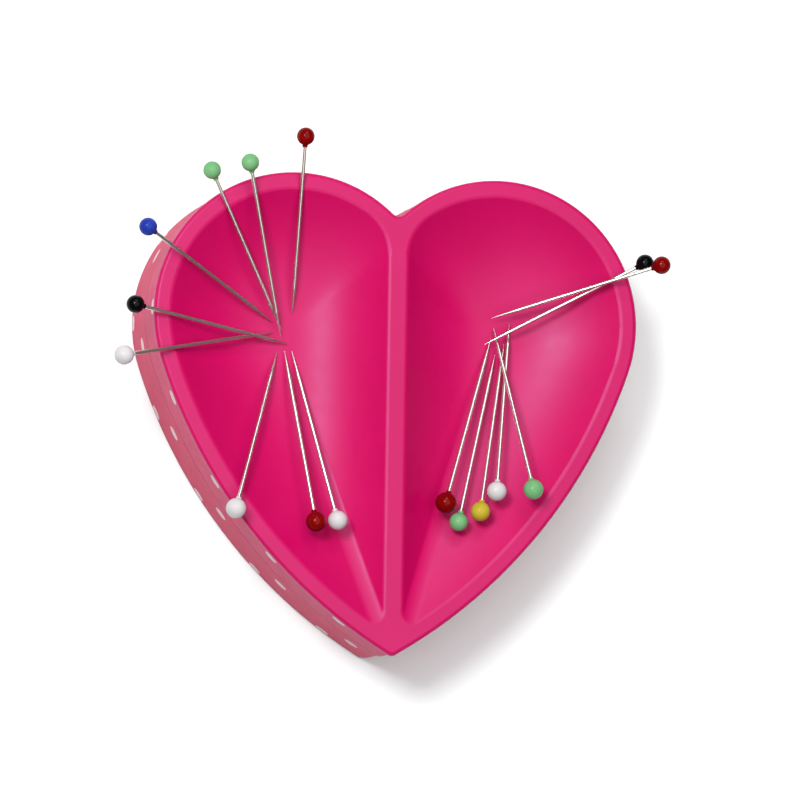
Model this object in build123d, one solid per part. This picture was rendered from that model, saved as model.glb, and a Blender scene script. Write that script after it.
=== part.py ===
"""Heart-shaped magnetic pin dish with sixteen glass-headed pins.

The dish is two moulded shells joined at a seam round the wall. The upper shell has two half-heart
bowls with a straight ridge between them, and a disc magnet under the deepest point of each bowl
holds the pins. A printed film wraps each shell's wall. Units are millimetres, +Z is up, and the
origin is on the underside, at the middle of the heart's width and length.
"""

import math
import os

from build123d import *

# Heart outline: on each side one lobe arc and one flank arc, tangent where they meet.
LOBE_RADIUS = 22.9
LOBE_X = 16.4
LOBE_Y = 15.4
FLANK_RADIUS = 84.4
FLANK_START = -18.5  # degrees round the lobe where the flank takes over
TIP_ROUNDING = 1.2
BASE_TIP_ROUNDING = 2.4
NOTCH_ROUNDING = 1.4

# Heights
RIM_Z = 22.5
SEAM_Z = 12.75
PAD_THICKNESS = 0.6

# Rim, ridge and bowls
RIM_WIDTH = 2.6
RIDGE_WIDTH = 3.0
RIM_ROUNDING = 0.7
BOWL_EDGE_ROUNDING = 1.0
BOWL_DEPTH = 7.0
BOWL_X = 17.3
BOWL_Y = 13.4
BOWL_FLOOR = 0.1  # share of the bowl's outline that is flat floor
BOWL_POWER = 2.0  # how the bowl's side steepens from the floor to the rim
BOWL_TOP_CORNER = 8.0
BOWL_TOP_POWER = 0.8  # how the corner's rounding shrinks with the outline
BOWL_TIP_CORNER = 1.6
BOWL_TIP_POWER = 0.3
BOWL_SECTIONS = 9
BOWL_OVERSHOOT = 1.06  # the cutter goes on past the rim plane

# Walls
LIP_HEIGHT = 1.2
FILM_RECESS = 0.4
FILM_THICKNESS = 0.15
EDGE_HEIGHT = 0.35  # plain plastic above and below the seam
SEAM_CHAMFER = 0.15
FOOT_EDGE_HEIGHT = 0.5
WALL_INSET = 1.8
SKIN = 1.6
FLOOR_THICKNESS = 1.8
TONGUE_GAP = 0.1
TONGUE_THICKNESS = 1.2
TONGUE_REACH = 2.0
PAD_INSET = 3.5

# Magnets and their holders, one of each under each bowl
MAGNET_RADIUS = 6.0
MAGNET_THICKNESS = 3.0
MAGNET_GAP = 0.1
COLLAR_WALL = 1.4
SEAT_Z = 13.7
CAP_PLUG = 1.4
CAP_FLANGE = 1.0

# Assembly screws
SCREW_PLACES = ((0, -22), (27, 22), (-27, 22))
SCREW_RADIUS = 1.1
SCREW_LENGTH = 11.0
SCREW_HEAD_RADIUS = 2.2
SCREW_HEAD_HEIGHT = 1.4
SCREW_RECESS = 1.8
SCREW_SLOT = (3.0, 0.6, 0.7)
BOSS_RADIUS = 2.8
POST_RADIUS = 3.5
BOSS_Z = 8.0

# Pins
PIN_LENGTH = 28.8  # from the point to the middle of the head
PIN_RADIUS = 0.3
PIN_TAPER = 4.0
PIN_POINT_RADIUS = 0.04
NECK_RADIUS = 0.42
NECK_LENGTH = 0.3
NECK_BLEND = 0.3

# Each pin: name, bowl side, where its point lies from the middle of the magnet, how far the point's
# middle is above the bowl's floor, which way the pin lies and how steeply it rises, in degrees, and
# its head's radius. The heads are melted on by hand, so they differ a little.
PINS = (
    ("left_blue_pin", -1, -1.8, 1.5, 0.45, 150.0, 25.5, 1.43),
    ("left_green_pin_low", -1, -0.3, 0.2, 0.9, 119.0, 17.2, 1.43),
    ("left_green_pin_high", -1, -0.6, -0.9, 1.7, 105.0, 17.5, 1.43),
    ("left_red_pin_top", -1, 1.4, 3.0, 0.8, 90.5, 19.3, 1.43),
    ("left_black_pin", -1, 0.9, -2.0, 0.6, 170.5, 20.5, 1.43),
    ("left_white_pin_side", -1, -1.6, -0.2, 0.45, 192.0, 23.0, 1.55),
    ("left_white_pin_front", -1, -0.9, -3.4, 0.45, 252.5, 20.5, 1.6),
    ("left_red_pin_front", -1, 0.3, -3.1, 0.45, 278.5, 14.5, 1.6),
    ("left_white_pin_inner", -1, 1.5, -3.1, 0.45, 283.5, 13.5, 1.55),
    ("right_black_pin", 1, -1.8, -1.0, 1.6, 28.5, 15.0, 1.43),
    ("right_red_pin_side", 1, -0.9, 3.2, 1.8, 18.5, 21.0, 1.45),
    ("right_red_pin_front", 1, -0.5, 0.1, 0.45, 253.0, 11.0, 1.68),
    ("right_green_pin_front", 1, 0.2, -2.5, 0.45, 256.0, 11.0, 1.48),
    ("right_yellow_pin", 1, 1.7, -0.7, 0.45, 259.5, 13.5, 1.56),
    ("right_white_pin", 1, 2.5, 2.7, 0.5, 263.0, 14.5, 1.56),
    ("right_green_pin_inner", 1, -0.1, 1.8, 0.5, 279.5, 21.0, 1.6),
)

# Middle of the flank arc, on the line through the lobe's middle and the place where the arcs meet
FLANK_X = LOBE_X - (FLANK_RADIUS - LOBE_RADIUS) * math.cos(math.radians(FLANK_START))
FLANK_Y = LOBE_Y - (FLANK_RADIUS - LOBE_RADIUS) * math.sin(math.radians(FLANK_START))


def side_arcs(inset, x_start):
    """The right-hand lobe and flank arcs, set in by inset, between their two points at x_start."""
    lobe = LOBE_RADIUS - inset
    flank = FLANK_RADIUS - inset
    top_angle = math.degrees(math.acos((x_start - LOBE_X) / lobe))
    tip_angle = -math.degrees(math.acos((x_start - FLANK_X) / flank))
    lobe_arc = CenterArc((LOBE_X, LOBE_Y), lobe, top_angle, FLANK_START - top_angle)
    flank_arc = CenterArc((FLANK_X, FLANK_Y), flank, FLANK_START, tip_angle - FLANK_START)
    return lobe_arc, flank_arc


def heart(inset, tip_rounding=TIP_ROUNDING):
    """A heart-shaped face, set in from the rim's outline."""
    lobe_arc, flank_arc = side_arcs(inset, 0)
    half = Curve() + [lobe_arc, flank_arc]
    face = make_face(half + mirror(half, Plane.YZ))
    on_centre = face.vertices().filter_by(lambda v: abs(v.X) < 0.01).sort_by(Axis.Y)
    face = fillet(on_centre[0], tip_rounding)
    notch = face.vertices().filter_by(lambda v: abs(v.X) < 0.01 and v.Y > 0)
    return fillet(notch, NOTCH_ROUNDING)


def heart_slab(inset, z_low, z_high, tip_rounding=TIP_ROUNDING):
    """An upright heart-shaped block between two heights."""
    return Pos(0, 0, z_low) * extrude(heart(inset, tip_rounding), z_high - z_low)


def heart_ring(outer_inset, inner_inset, z_low, z_high, tip_rounding=TIP_ROUNDING):
    """An upright heart-shaped wall between two insets and two heights."""
    outside = heart_slab(outer_inset, z_low, z_high, tip_rounding)
    return outside - heart_slab(inner_inset, z_low - 1, z_high + 1, tip_rounding)


def bowl_section(grow, share):
    """The right-hand bowl's outline, shrunk to a share of its size about the deepest point."""
    ridge_side = RIDGE_WIDTH / 2 - grow
    lobe_arc, flank_arc = side_arcs(RIM_WIDTH - grow, ridge_side)
    ridge_line = Line(flank_arc @ 1, lobe_arc @ 0)
    face = scale(make_face([lobe_arc, flank_arc, ridge_line]), by=share)
    tip, top = face.vertices().sort_by(Axis.X)[:2].sort_by(Axis.Y)
    face = fillet(top, (BOWL_TOP_CORNER + grow) * share**BOWL_TOP_POWER)
    tip = face.vertices().sort_by(Axis.Y)[0]
    face = fillet(tip, (BOWL_TIP_CORNER + grow) * share**BOWL_TIP_POWER)
    return Pos((1 - share) * BOWL_X, (1 - share) * BOWL_Y, 0) * face


def bowl_height(share):
    """Height over the floor, as a share of the depth, at a share of the way to the outline."""
    climb = max(share - BOWL_FLOOR, 0) / (1 - BOWL_FLOOR)
    return climb**BOWL_POWER


def bowl(side, grow=0.0):
    """One bowl as a solid: the outline shrinks towards the deepest point as it goes down."""
    sections = []
    for step in range(BOWL_SECTIONS):
        share = BOWL_FLOOR + (BOWL_OVERSHOOT - BOWL_FLOOR) * step / (BOWL_SECTIONS - 1)
        z = RIM_Z - grow - BOWL_DEPTH * (1 - bowl_height(share))
        sections.append(Pos(0, 0, z) * bowl_section(grow, share))
    solid = loft(sections)
    return solid if side > 0 else mirror(solid, Plane.YZ)


def upright(radius, x, y, z_low, z_high):
    """An upright cylinder between two heights."""
    base = Pos(x, y, z_low)
    return base * Cylinder(radius, z_high - z_low, align=(Align.CENTER, Align.CENTER, Align.MIN))


def magnet_place(side):
    return side * BOWL_X, BOWL_Y


def tray_shell():
    """The upper shell: rim, ridge, two bowls, magnet collars and screw bosses."""
    film_low = SEAM_Z + EDGE_HEIGHT
    film_high = RIM_Z - LIP_HEIGHT
    lip = heart_slab(0, film_high, RIM_Z)
    lip = fillet(lip.edges().group_by(Axis.Z)[-1], RIM_ROUNDING)
    wall = heart_slab(FILM_RECESS, film_low, film_high)
    edge = heart_slab(FILM_RECESS - FILM_THICKNESS, SEAM_Z, film_low)
    edge = chamfer(edge.edges().group_by(Axis.Z)[0], SEAM_CHAMFER)
    shell = lip + wall + edge
    cavity = heart_slab(WALL_INSET, SEAM_Z - 1, RIM_Z - SKIN)
    for side in (-1, 1):
        cavity -= bowl(side, SKIN)
    shell -= cavity
    collar_bottom = SEAT_Z - MAGNET_THICKNESS - CAP_PLUG
    bore = MAGNET_RADIUS + MAGNET_GAP
    for side in (-1, 1):
        x, y = magnet_place(side)
        shell += upright(bore + COLLAR_WALL, x, y, collar_bottom, SEAT_Z + SKIN)
        shell -= upright(bore, x, y, collar_bottom - 1, SEAT_Z)
    for x, y in SCREW_PLACES:
        shell += upright(BOSS_RADIUS, x, y, BOSS_Z, RIM_Z - SKIN)
        shell -= upright(SCREW_RADIUS, x, y, BOSS_Z - 1, screw_top() + 0.5)
    for side in (-1, 1):
        shell -= bowl(side)
    bowl_edges = shell.edges().filter_by(is_bowl_edge)
    return fillet(bowl_edges, BOWL_EDGE_ROUNDING)


def is_bowl_edge(edge):
    """True for an edge in the rim plane that bounds a bowl."""
    box = edge.bounding_box()
    flat_on_rim = box.min.Z > RIM_Z - 0.01 and box.max.Z < RIM_Z + 0.01
    middle = edge @ 0.5
    reach = LOBE_RADIUS - RIM_WIDTH / 2
    in_lobe = math.hypot(abs(middle.X) - LOBE_X, middle.Y - LOBE_Y) < reach
    flank_reach = FLANK_RADIUS - RIM_WIDTH / 2
    in_flank = math.hypot(abs(middle.X) - FLANK_X, middle.Y - FLANK_Y) < flank_reach
    return flat_on_rim and (in_lobe or (middle.Y < LOBE_Y and in_flank))


def screw_bottom():
    """Height of the underside of a screw's head."""
    return PAD_THICKNESS + SCREW_RECESS - SCREW_HEAD_HEIGHT


def screw_top():
    return PAD_THICKNESS + SCREW_RECESS + SCREW_LENGTH


def base_shell():
    """The lower shell: wall, floor, a tongue that locates the tray and posts for the screws."""
    film_low = PAD_THICKNESS + FOOT_EDGE_HEIGHT
    film_high = SEAM_Z - EDGE_HEIGHT
    flush = FILM_RECESS - FILM_THICKNESS
    foot = heart_slab(flush, PAD_THICKNESS, film_low, BASE_TIP_ROUNDING)
    foot = chamfer(foot.edges().group_by(Axis.Z)[0], SEAM_CHAMFER)
    edge = heart_slab(flush, film_high, SEAM_Z, BASE_TIP_ROUNDING)
    edge = chamfer(edge.edges().group_by(Axis.Z)[-1], SEAM_CHAMFER)
    shell = foot + heart_slab(FILM_RECESS, film_low, film_high, BASE_TIP_ROUNDING) + edge
    floor_top = PAD_THICKNESS + FLOOR_THICKNESS
    shell -= heart_slab(WALL_INSET, floor_top, SEAM_Z + 1)
    tongue_outer = WALL_INSET + TONGUE_GAP
    tongue_inner = tongue_outer + TONGUE_THICKNESS
    tongue = heart_ring(tongue_outer, tongue_inner, SEAM_Z - TONGUE_REACH, SEAM_Z + TONGUE_REACH)
    shoulder = heart_ring(WALL_INSET, tongue_inner, SEAM_Z - 2 * TONGUE_REACH, SEAM_Z - TONGUE_REACH)
    shell += tongue + shoulder
    for x, y in SCREW_PLACES:
        shell += upright(POST_RADIUS, x, y, floor_top, BOSS_Z)
        shell -= upright(SCREW_RADIUS + 0.1, x, y, 0, BOSS_Z + 1)
        shell -= upright(SCREW_HEAD_RADIUS + 0.2, x, y, 0, PAD_THICKNESS + SCREW_RECESS)
    return shell


def print_film(z_low, z_high, tip_rounding):
    """A printed film wrapped round a shell's wall."""
    return heart_ring(FILM_RECESS - FILM_THICKNESS, FILM_RECESS, z_low, z_high, tip_rounding)


def magnet(side):
    x, y = magnet_place(side)
    disc = upright(MAGNET_RADIUS, x, y, SEAT_Z - MAGNET_THICKNESS, SEAT_Z)
    return chamfer(disc.edges(), 0.3)


def magnet_cap(side):
    """The plug that holds a magnet up in its collar."""
    x, y = magnet_place(side)
    plug_top = SEAT_Z - MAGNET_THICKNESS
    flange_top = plug_top - CAP_PLUG
    plug = upright(MAGNET_RADIUS + MAGNET_GAP, x, y, flange_top, plug_top)
    flange_radius = MAGNET_RADIUS + MAGNET_GAP + COLLAR_WALL
    return plug + upright(flange_radius, x, y, flange_top - CAP_FLANGE, flange_top)


def assembly_screws():
    """Three pan-head screws, driven up through the base into the tray's bosses."""
    length, width, depth = SCREW_SLOT
    solids = []
    for x, y in SCREW_PLACES:
        head_bottom = screw_bottom()
        head_top = head_bottom + SCREW_HEAD_HEIGHT
        screw = upright(SCREW_HEAD_RADIUS, x, y, head_bottom, head_top)
        screw = chamfer(screw.edges().group_by(Axis.Z)[0], SCREW_HEAD_HEIGHT / 3)
        screw += upright(SCREW_RADIUS, x, y, head_top, screw_top())
        for turn in (0, 90):
            screw -= Pos(x, y, head_bottom) * Rot(0, 0, turn) * Box(length, width, 2 * depth)
        solids.append(screw)
    return Compound(children=solids)


def foot_pad():
    """The thin non-slip pad under the base."""
    return heart_slab(PAD_INSET, 0, PAD_THICKNESS, BASE_TIP_ROUNDING)


def pin_location(side, away_x, away_y, lift, heading, slope):
    """Puts a pin that stands on its point at the origin where it lies in the dish."""
    x = side * BOWL_X + away_x
    y = BOWL_Y + away_y
    z = RIM_Z - BOWL_DEPTH + lift
    return Pos(x, y, z) * Rot(0, 0, heading) * Rot(0, 90 - slope, 0)


def pin_shaft():
    """The steel shaft, from its point to the middle of the head."""
    profile = Polyline(
        (0, 0),
        (PIN_POINT_RADIUS, 0),
        (PIN_RADIUS, PIN_TAPER),
        (PIN_RADIUS, PIN_LENGTH),
        (0, PIN_LENGTH),
        close=True,
    )
    return revolve(Plane.XZ * make_face(profile), Axis.Z)


def pin_head(radius):
    """The glass head: a bead melted round the end of the shaft, with a short neck of glass."""
    neck_length = radius + NECK_LENGTH
    from_below = (Align.CENTER, Align.MIN)
    neck = Pos(0, -neck_length) * Rectangle(2 * NECK_RADIUS, neck_length, align=from_below)
    profile = Circle(radius) + neck
    waist = profile.vertices().sort_by(Axis.Y)[2:4]
    profile = fillet(waist, NECK_BLEND)
    profile -= Pos(0, -2 * radius) * Rectangle(2 * PIN_RADIUS, 2 * radius, align=from_below)
    right_half = Rectangle(2 * radius, 4 * radius, align=(Align.MIN, Align.CENTER))
    return Pos(0, 0, PIN_LENGTH) * revolve(Plane.XZ * (profile & right_half), Axis.Z)


def dish_nodes():
    nodes = {
        "tray_shell": tray_shell(),
        "base_shell": base_shell(),
        "upper_print_film": print_film(SEAM_Z + EDGE_HEIGHT, RIM_Z - LIP_HEIGHT, TIP_ROUNDING),
        "lower_print_film": print_film(
            PAD_THICKNESS + FOOT_EDGE_HEIGHT, SEAM_Z - EDGE_HEIGHT, BASE_TIP_ROUNDING
        ),
        "assembly_screws": assembly_screws(),
        "foot_pad": foot_pad(),
    }
    for side, word in ((-1, "left"), (1, "right")):
        nodes[f"{word}_magnet"] = magnet(side)
        nodes[f"{word}_magnet_cap"] = magnet_cap(side)
    return nodes


def pin_nodes():
    shaft = pin_shaft()
    nodes = {}
    for name, *place, head_radius in PINS:
        location = pin_location(*place)
        nodes[f"{name}_shaft"] = location * shaft
        nodes[f"{name}_head"] = location * pin_head(head_radius)
    return nodes


def main():
    os.makedirs("parts", exist_ok=True)
    for node, shape in {**dish_nodes(), **pin_nodes()}.items():
        export_step(shape, f"parts/{node}.step")


main()
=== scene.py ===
"""Looks of the heart-shaped magnetic pin dish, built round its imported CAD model.

Lengths are in metres in the model's own frame: +Z up, +Y towards the heart's notch, and the
underside's middle at the origin.
"""

import math

import bmesh
import bpy
from mathutils import Matrix, Vector


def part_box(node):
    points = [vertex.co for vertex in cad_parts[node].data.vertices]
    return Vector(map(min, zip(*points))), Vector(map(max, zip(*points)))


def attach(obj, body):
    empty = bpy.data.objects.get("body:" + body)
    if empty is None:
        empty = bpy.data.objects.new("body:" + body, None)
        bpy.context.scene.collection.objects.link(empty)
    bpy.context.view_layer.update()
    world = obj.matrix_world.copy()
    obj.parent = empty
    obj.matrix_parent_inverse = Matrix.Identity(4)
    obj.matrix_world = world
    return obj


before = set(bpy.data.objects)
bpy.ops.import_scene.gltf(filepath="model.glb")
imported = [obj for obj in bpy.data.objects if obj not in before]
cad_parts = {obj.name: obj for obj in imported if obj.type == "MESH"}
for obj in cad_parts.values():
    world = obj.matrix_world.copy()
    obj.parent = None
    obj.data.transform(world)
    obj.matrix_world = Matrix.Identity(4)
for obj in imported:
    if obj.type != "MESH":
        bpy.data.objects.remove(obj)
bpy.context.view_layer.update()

MM = 0.001
DISH = "dish"

# Heart outline at the rim, as in the CAD model: a lobe arc and a flank arc on each side
LOBE_RADIUS = 22.9 * MM
LOBE_X = 16.4 * MM
LOBE_Y = 15.4 * MM
FLANK_RADIUS = 84.4 * MM
FLANK_START = math.radians(-18.5)
FILM_INSET = 0.25 * MM

RIM_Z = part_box("tray_shell")[1][2]

# Camera: a long lens looking almost straight down
CAMERA_TARGET = Vector((0.55 * MM, 2.67 * MM, RIM_Z))
CAMERA_DISTANCE = 0.953
CAMERA_AZIMUTH = math.radians(-68.65)
CAMERA_TILT = math.radians(13.39)
CAMERA_ROLL = math.radians(0.92)
CAMERA_LENS = 270
CAMERA_SENSOR = 36
CAMERA_NEAR = 0.01
CAMERA_FAR = 20

# Polka dots printed on the film: each row's name, the film it is on, its height and how far its
# first dot is from the heart's tip
DOT_ROWS = (
    ("upper_dots", "upper_print_film", 19.2 * MM, 9.7 * MM),
    ("middle_dots", "lower_print_film", 8.5 * MM, 4.4 * MM),
    ("lower_dots", "lower_print_film", 1.9 * MM, 8.6 * MM),
)
DOT_RADIUS = 1.25 * MM
DOT_PITCH = 14.9 * MM
DOT_LIFT = 0.02 * MM
DOT_STEPS = 28
DOT_SQUASH = 0.85  # the dots are a little longer than high

# A dot's rings, from its hidden back to its face: share of the radius, and lifts off the film
DOT_RINGS = ((1.0, -1.0), (1.0, 0.5), (0.9, 1.0), (0.5, 1.0))

# Length of half the outline, from the tip to the notch, and how far the dots keep from its ends
HALF_OUTLINE = 121 * MM
END_CLEARANCE = 2.7 * MM

# Lights: the key shines from the upper left, the softbox from overhead and the strip from
# beyond the notch
KEY_DIRECTION = Vector((-0.40, 0.22, 0.89))
KEY_DISTANCE = 0.7
KEY_SIZE = 0.19
KEY_POWER = 3.35
SOFTBOX_PLACE = Vector((-0.02, 0.04, 0.54))
SOFTBOX_SIZE = (0.6, 0.75)
SOFTBOX_POWER = 3.2
STRIP_PLACE = Vector((0, 0.56, 0.55))
STRIP_SIZE = (0.3, 0.12)
STRIP_POWER = 1.0
SURROUND = 0.1
FLOOR_SIZE = 4

# The gloss is tinted blue, which makes the highlights on the pink plastic magenta
SHEEN_TINT = (0.25, 0.65, 1.0, 1.0)

# Each material's deeper and lighter tone, as screen values from 0 to 255
PINK_TONES = ((177, 0, 78), (182, 1, 83))
BASE_TONES = ((168, 8, 74), (175, 12, 80))
# Both films carry one pink ink. The upper film's tones are painted lighter, as painted light for the
# light grazing the top of the wall. The lower film's tones are painted darker, as painted shade.
UPPER_INK_PAINTED_LIGHT_TONES = ((190, 42, 90), (197, 50, 97))
LOWER_INK_PAINTED_SHADE_TONES = ((190, 34, 82), (197, 42, 89))
WHITE_INK_TONES = ((206, 178, 184), (218, 192, 197))
STEEL_TONES = ((206, 199, 190), (222, 216, 208))
RUBBER_TONES = ((44, 42, 44), (62, 59, 61))
FERRITE_TONES = ((60, 60, 64), (84, 84, 88))
FLOOR_TONES = ((241, 247, 246), (244, 249, 249))
BEAD_TONES = {
    "blue": ((30, 46, 136), (38, 58, 150)),
    "green": ((98, 152, 102), (110, 164, 112)),
    "red": ((104, 2, 3), (118, 5, 6)),
    "black": ((4, 4, 5), (9, 8, 10)),
    "white": ((184, 180, 181), (194, 190, 191)),
    "yellow": ((166, 146, 40), (176, 157, 50)),
}


def linear(red, green, blue):
    """A colour given as screen values from 0 to 255, as the shader's linear colour."""
    values = []
    for part in (red, green, blue):
        share = part / 255
        values.append(share / 12.92 if share <= 0.04045 else ((share + 0.055) / 1.055) ** 2.4)
    return (*values, 1.0)


class Surface:
    """A material being built: a Principled shader and the procedural textures that feed it."""

    def __init__(self, name, **constants):
        self.material = bpy.data.materials.new(name)
        self.material.use_nodes = True
        self.nodes = self.material.node_tree.nodes
        self.links = self.material.node_tree.links
        self.shader = self.nodes["Principled BSDF"]
        for socket, value in constants.items():
            self.shader.inputs[socket.replace("_", " ")].default_value = value
        self.place = self.nodes.new("ShaderNodeTexCoord").outputs["Object"]

    def noise(self, scale, detail=3.0, roughness=0.5):
        """Noise over the object; scale is in features per metre."""
        texture = self.nodes.new("ShaderNodeTexNoise")
        texture.inputs["Scale"].default_value = scale
        texture.inputs["Detail"].default_value = detail
        texture.inputs["Roughness"].default_value = roughness
        self.links.new(self.place, texture.inputs["Vector"])
        return texture.outputs["Fac"]

    def colour(self, source, tones, edge=0.3):
        """Base colour from the deeper to the lighter tone, as the source goes from edge to 1 - edge."""
        ramp = self.nodes.new("ShaderNodeValToRGB")
        for stop, position, tone in zip(ramp.color_ramp.elements, (edge, 1 - edge), tones):
            stop.position = position
            stop.color = linear(*tone)
        self.links.new(source, ramp.inputs["Fac"])
        self.links.new(ramp.outputs["Color"], self.shader.inputs["Base Color"])

    def rough(self, source, low, high):
        """Roughness between two values, following a 0 to 1 source."""
        spread = self.nodes.new("ShaderNodeMapRange")
        spread.inputs["To Min"].default_value = low
        spread.inputs["To Max"].default_value = high
        self.links.new(source, spread.inputs["Value"])
        self.links.new(spread.outputs["Result"], self.shader.inputs["Roughness"])

    def bump(self, source, strength, distance):
        """Fine relief from a 0 to 1 source."""
        bump = self.nodes.new("ShaderNodeBump")
        bump.inputs["Strength"].default_value = strength
        bump.inputs["Distance"].default_value = distance
        self.links.new(source, bump.inputs["Height"])
        self.links.new(bump.outputs["Normal"], self.shader.inputs["Normal"])


def moulded_plastic(name, tones):
    """Satin moulded plastic: cloudy colour, uneven gloss and a fine spark-eroded grain."""
    surface = Surface(name, IOR=1.49, Specular_IOR_Level=0.34, Specular_Tint=SHEEN_TINT)
    surface.colour(surface.noise(scale=90, detail=4), tones)
    surface.rough(surface.noise(scale=420, detail=5), low=0.37, high=0.46)
    grain = surface.noise(scale=5200, roughness=0.6)
    surface.bump(grain, strength=0.12, distance=0.03 * MM)
    return surface.material


def printed_film(name, tones):
    """Satin printed film: a slightly uneven ink over a smooth, faintly rippled film."""
    surface = Surface(name, IOR=1.5, Specular_IOR_Level=0.25)
    ink = surface.noise(scale=700, detail=4, roughness=0.6)
    surface.colour(ink, tones, edge=0.35)
    surface.rough(surface.noise(scale=260, detail=4), low=0.5, high=0.65)
    surface.bump(surface.noise(scale=900), strength=0.1, distance=0.04 * MM)
    return surface.material


def bright_steel(name):
    """Nickel-plated steel: fine marks and small changes of gloss."""
    surface = Surface(name, Metallic=1.0)
    marks = surface.noise(scale=1500, detail=4, roughness=0.6)
    surface.colour(marks, STEEL_TONES)
    surface.rough(surface.noise(scale=2600), low=0.26, high=0.36)
    surface.bump(marks, strength=0.08, distance=0.01 * MM)
    return surface.material


def glass_bead(name, tones):
    """Opaque coloured glass, faintly clouded and not perfectly smooth."""
    surface = Surface(name, IOR=1.5, Specular_IOR_Level=0.08)
    surface.colour(surface.noise(scale=380), tones)
    surface.rough(surface.noise(scale=500, detail=2), low=0.08, high=0.16)
    surface.bump(surface.noise(scale=650, detail=2), strength=0.05, distance=0.05 * MM)
    return surface.material


def matt_rubber(name):
    """Dark matt rubber with a pebbled skin."""
    surface = Surface(name)
    surface.colour(surface.noise(scale=500, detail=4), RUBBER_TONES)
    surface.rough(surface.noise(scale=700), low=0.7, high=0.85)
    surface.bump(surface.noise(scale=2400, detail=4), strength=0.35, distance=0.1 * MM)
    return surface.material


def ferrite(name):
    """Dark sintered magnet, mottled and a little metallic."""
    surface = Surface(name, Metallic=0.3)
    surface.colour(surface.noise(scale=900, detail=5), FERRITE_TONES)
    surface.rough(surface.noise(scale=1200), low=0.45, high=0.6)
    surface.bump(surface.noise(scale=3000, detail=4), strength=0.2, distance=0.03 * MM)
    return surface.material


def paint(node, material):
    """Gives a CAD node its material."""
    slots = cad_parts[node].material_slots
    if not slots:
        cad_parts[node].data.materials.append(material)
    for material_slot in slots:
        material_slot.material = material


def outline_point(along, inset):
    """The point at a length from the tip along the right-hand outline, set in by inset."""
    flank = FLANK_RADIUS - inset
    lobe = LOBE_RADIUS - inset
    lobe_centre = Vector((LOBE_X, LOBE_Y))
    reach = FLANK_RADIUS - LOBE_RADIUS
    flank_centre = lobe_centre - reach * Vector((math.cos(FLANK_START), math.sin(FLANK_START)))
    tip_angle = -math.acos(-flank_centre.x / flank)
    angle = tip_angle + along / flank
    if angle <= FLANK_START:
        centre, radius = flank_centre, flank
    else:
        centre, radius = lobe_centre, lobe
        angle = FLANK_START + (along - (FLANK_START - tip_angle) * flank) / lobe
    outward = Vector((math.cos(angle), math.sin(angle)))
    return centre + radius * outward


def dot_places(first):
    """Where a row's dots are, as lengths from the tip that are positive on the left side."""
    lowest = -math.floor((HALF_OUTLINE + first) / DOT_PITCH)
    highest = math.floor((HALF_OUTLINE - first) / DOT_PITCH)
    places = [first + number * DOT_PITCH for number in range(lowest, highest + 1)]
    furthest = HALF_OUTLINE - END_CLEARANCE
    return [along for along in places if END_CLEARANCE <= abs(along) <= furthest]


def dot_ring(along, height, radius, inset, film_box):
    """A ring of points on the wall round a dot's middle, kept to the film's height."""
    ring = []
    for step in range(DOT_STEPS):
        turn = 2 * math.pi * step / DOT_STEPS
        length = along + radius * math.cos(turn)
        place = outline_point(abs(length), inset)
        z = height + DOT_SQUASH * radius * math.sin(turn)
        z = min(max(z, film_box[0].z), film_box[1].z)
        ring.append((math.copysign(place.x, -length), place.y, z))
    return ring


def add_dot(sheet, levels):
    """One closed thin disc, from its rings of points."""
    rings = [[sheet.verts.new(point) for point in level] for level in levels]
    for outer, inner in zip(rings[:-1], rings[1:]):
        for step in range(DOT_STEPS):
            after = (step + 1) % DOT_STEPS
            sheet.faces.new((outer[step], outer[after], inner[after], inner[step]))
    sheet.faces.new(rings[-1])
    sheet.faces.new(list(reversed(rings[0])))


def polka_dots(name, film, height, first, material):
    """One row of printed dots all round the wall, each a thin disc of ink bent to the film."""
    film_box = [Vector(corner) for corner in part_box(film)]
    sheet = bmesh.new()
    for along in dot_places(first):
        levels = []
        for share, lifts in DOT_RINGS:
            inset = FILM_INSET - lifts * DOT_LIFT
            levels.append(dot_ring(along, height, share * DOT_RADIUS, inset, film_box))
        add_dot(sheet, levels)
    bmesh.ops.recalc_face_normals(sheet, faces=sheet.faces)
    mesh = bpy.data.meshes.new(name)
    sheet.to_mesh(mesh)
    sheet.free()
    mesh.materials.append(material)
    dots = bpy.data.objects.new(name, mesh)
    bpy.context.scene.collection.objects.link(dots)
    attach(dots, DISH)


def camera():
    """The view from almost straight above."""
    tilt_x = math.sin(CAMERA_TILT) * math.sin(CAMERA_AZIMUTH)
    tilt_y = -math.sin(CAMERA_TILT) * math.cos(CAMERA_AZIMUTH)
    back = Vector((tilt_x, tilt_y, math.cos(CAMERA_TILT)))
    up = (Vector((0, 1, 0)) - back * back.y).normalized()
    right = up.cross(back)
    x_axis = math.cos(CAMERA_ROLL) * right + math.sin(CAMERA_ROLL) * up
    y_axis = -math.sin(CAMERA_ROLL) * right + math.cos(CAMERA_ROLL) * up
    data = bpy.data.cameras.new("camera")
    data.lens = CAMERA_LENS
    data.sensor_width = CAMERA_SENSOR
    data.clip_start = CAMERA_NEAR
    data.clip_end = CAMERA_FAR
    view = bpy.data.objects.new("camera", data)
    turn = Matrix((x_axis, y_axis, back)).transposed().to_4x4()
    view.matrix_world = Matrix.Translation(CAMERA_TARGET + CAMERA_DISTANCE * back) @ turn
    bpy.context.scene.collection.objects.link(view)
    bpy.context.scene.camera = view


def area_light(name, shape, place, size, power):
    """A soft oval or square-cornered light aimed at the dish, size wide and deep."""
    data = bpy.data.lights.new(name, "AREA")
    data.shape = shape
    data.size, data.size_y = size
    data.energy = power
    light = bpy.data.objects.new(name, data)
    light.location = place
    light.rotation_euler = place.to_track_quat("Z", "Y").to_euler()
    bpy.context.scene.collection.objects.link(light)


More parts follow.
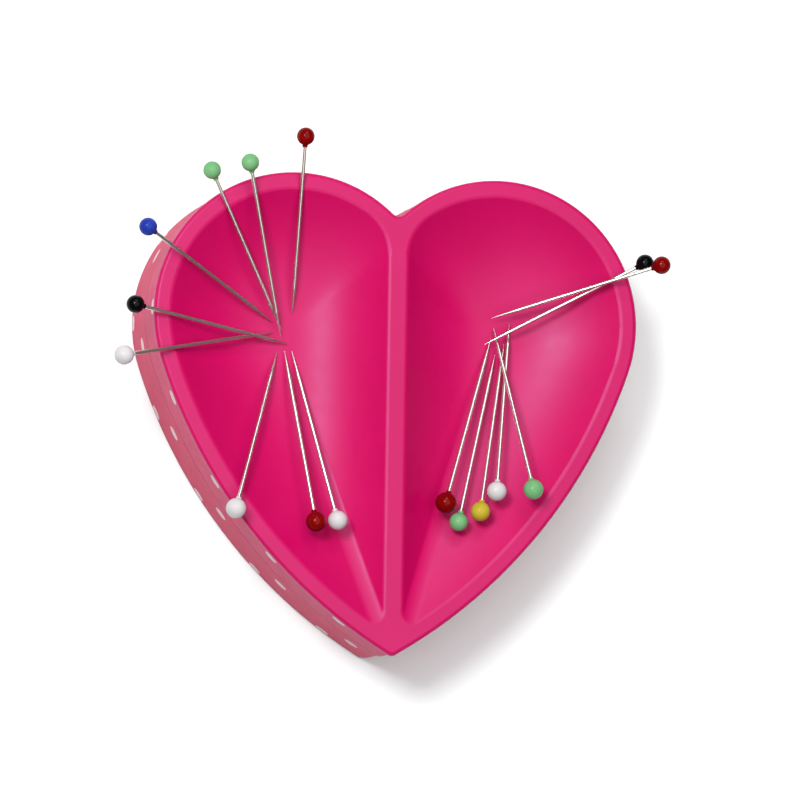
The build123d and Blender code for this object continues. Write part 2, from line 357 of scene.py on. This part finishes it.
def paper_floor():
    """A plain white floor."""
    bpy.ops.mesh.primitive_plane_add(size=FLOOR_SIZE, location=(0, 0, 0))
    floor = bpy.context.object
    floor.name = "floor"
    surface = Surface("floor_paper", Roughness=0.9)
    surface.colour(surface.noise(scale=8, detail=2), FLOOR_TONES)
    floor.data.materials.append(surface.material)


def studio_light():
    """A key light, two soft lights and a pale surround."""
    key_place = KEY_DISTANCE * KEY_DIRECTION
    area_light("key", "ELLIPSE", key_place, (KEY_SIZE, KEY_SIZE), KEY_POWER)
    area_light("softbox", "RECTANGLE", SOFTBOX_PLACE, SOFTBOX_SIZE, SOFTBOX_POWER)
    area_light("strip", "RECTANGLE", STRIP_PLACE, STRIP_SIZE, STRIP_POWER)
    world = bpy.data.worlds.new("surround")
    world.use_nodes = True
    background = world.node_tree.nodes["Background"]
    background.inputs["Color"].default_value = (1, 1, 1, 1)
    background.inputs["Strength"].default_value = SURROUND
    bpy.context.scene.world = world
    bpy.context.scene.view_settings.view_transform = "Standard"


def dish_materials():
    """Paints the dish's nodes and adds its printed dots."""
    base = moulded_plastic("base_plastic", BASE_TONES)
    magnet = ferrite("ferrite")
    paint("tray_shell", moulded_plastic("pink_plastic", PINK_TONES))
    paint("base_shell", base)
    for side in ("left", "right"):
        paint(f"{side}_magnet_cap", base)
        paint(f"{side}_magnet", magnet)
    # The same ink twice: painted lighter on the upper film as painted light, and painted darker on the
    # lower film as painted shade
    paint("upper_print_film", printed_film("upper_ink_painted_light", UPPER_INK_PAINTED_LIGHT_TONES))
    paint("lower_print_film", printed_film("lower_ink_painted_shade", LOWER_INK_PAINTED_SHADE_TONES))
    white_ink = printed_film("white_ink", WHITE_INK_TONES)
    for row in DOT_ROWS:
        polka_dots(*row, white_ink)
    paint("foot_pad", matt_rubber("pad_rubber"))
    paint("assembly_screws", bright_steel("screw_steel"))


def pin_materials():
    """Paints each pin's shaft as steel and its head in the colour that the node's name gives."""
    steel = bright_steel("pin_steel")
    beads = {}
    for colour, tones in BEAD_TONES.items():
        beads[colour] = glass_bead(f"{colour}_glass", tones)
    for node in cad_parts:
        if node.endswith("_shaft"):
            paint(node, steel)
        if "_pin" in node and node.endswith("_head"):
            paint(node, beads[node.split("_")[1]])


camera()
paper_floor()
studio_light()
dish_materials()
pin_materials()
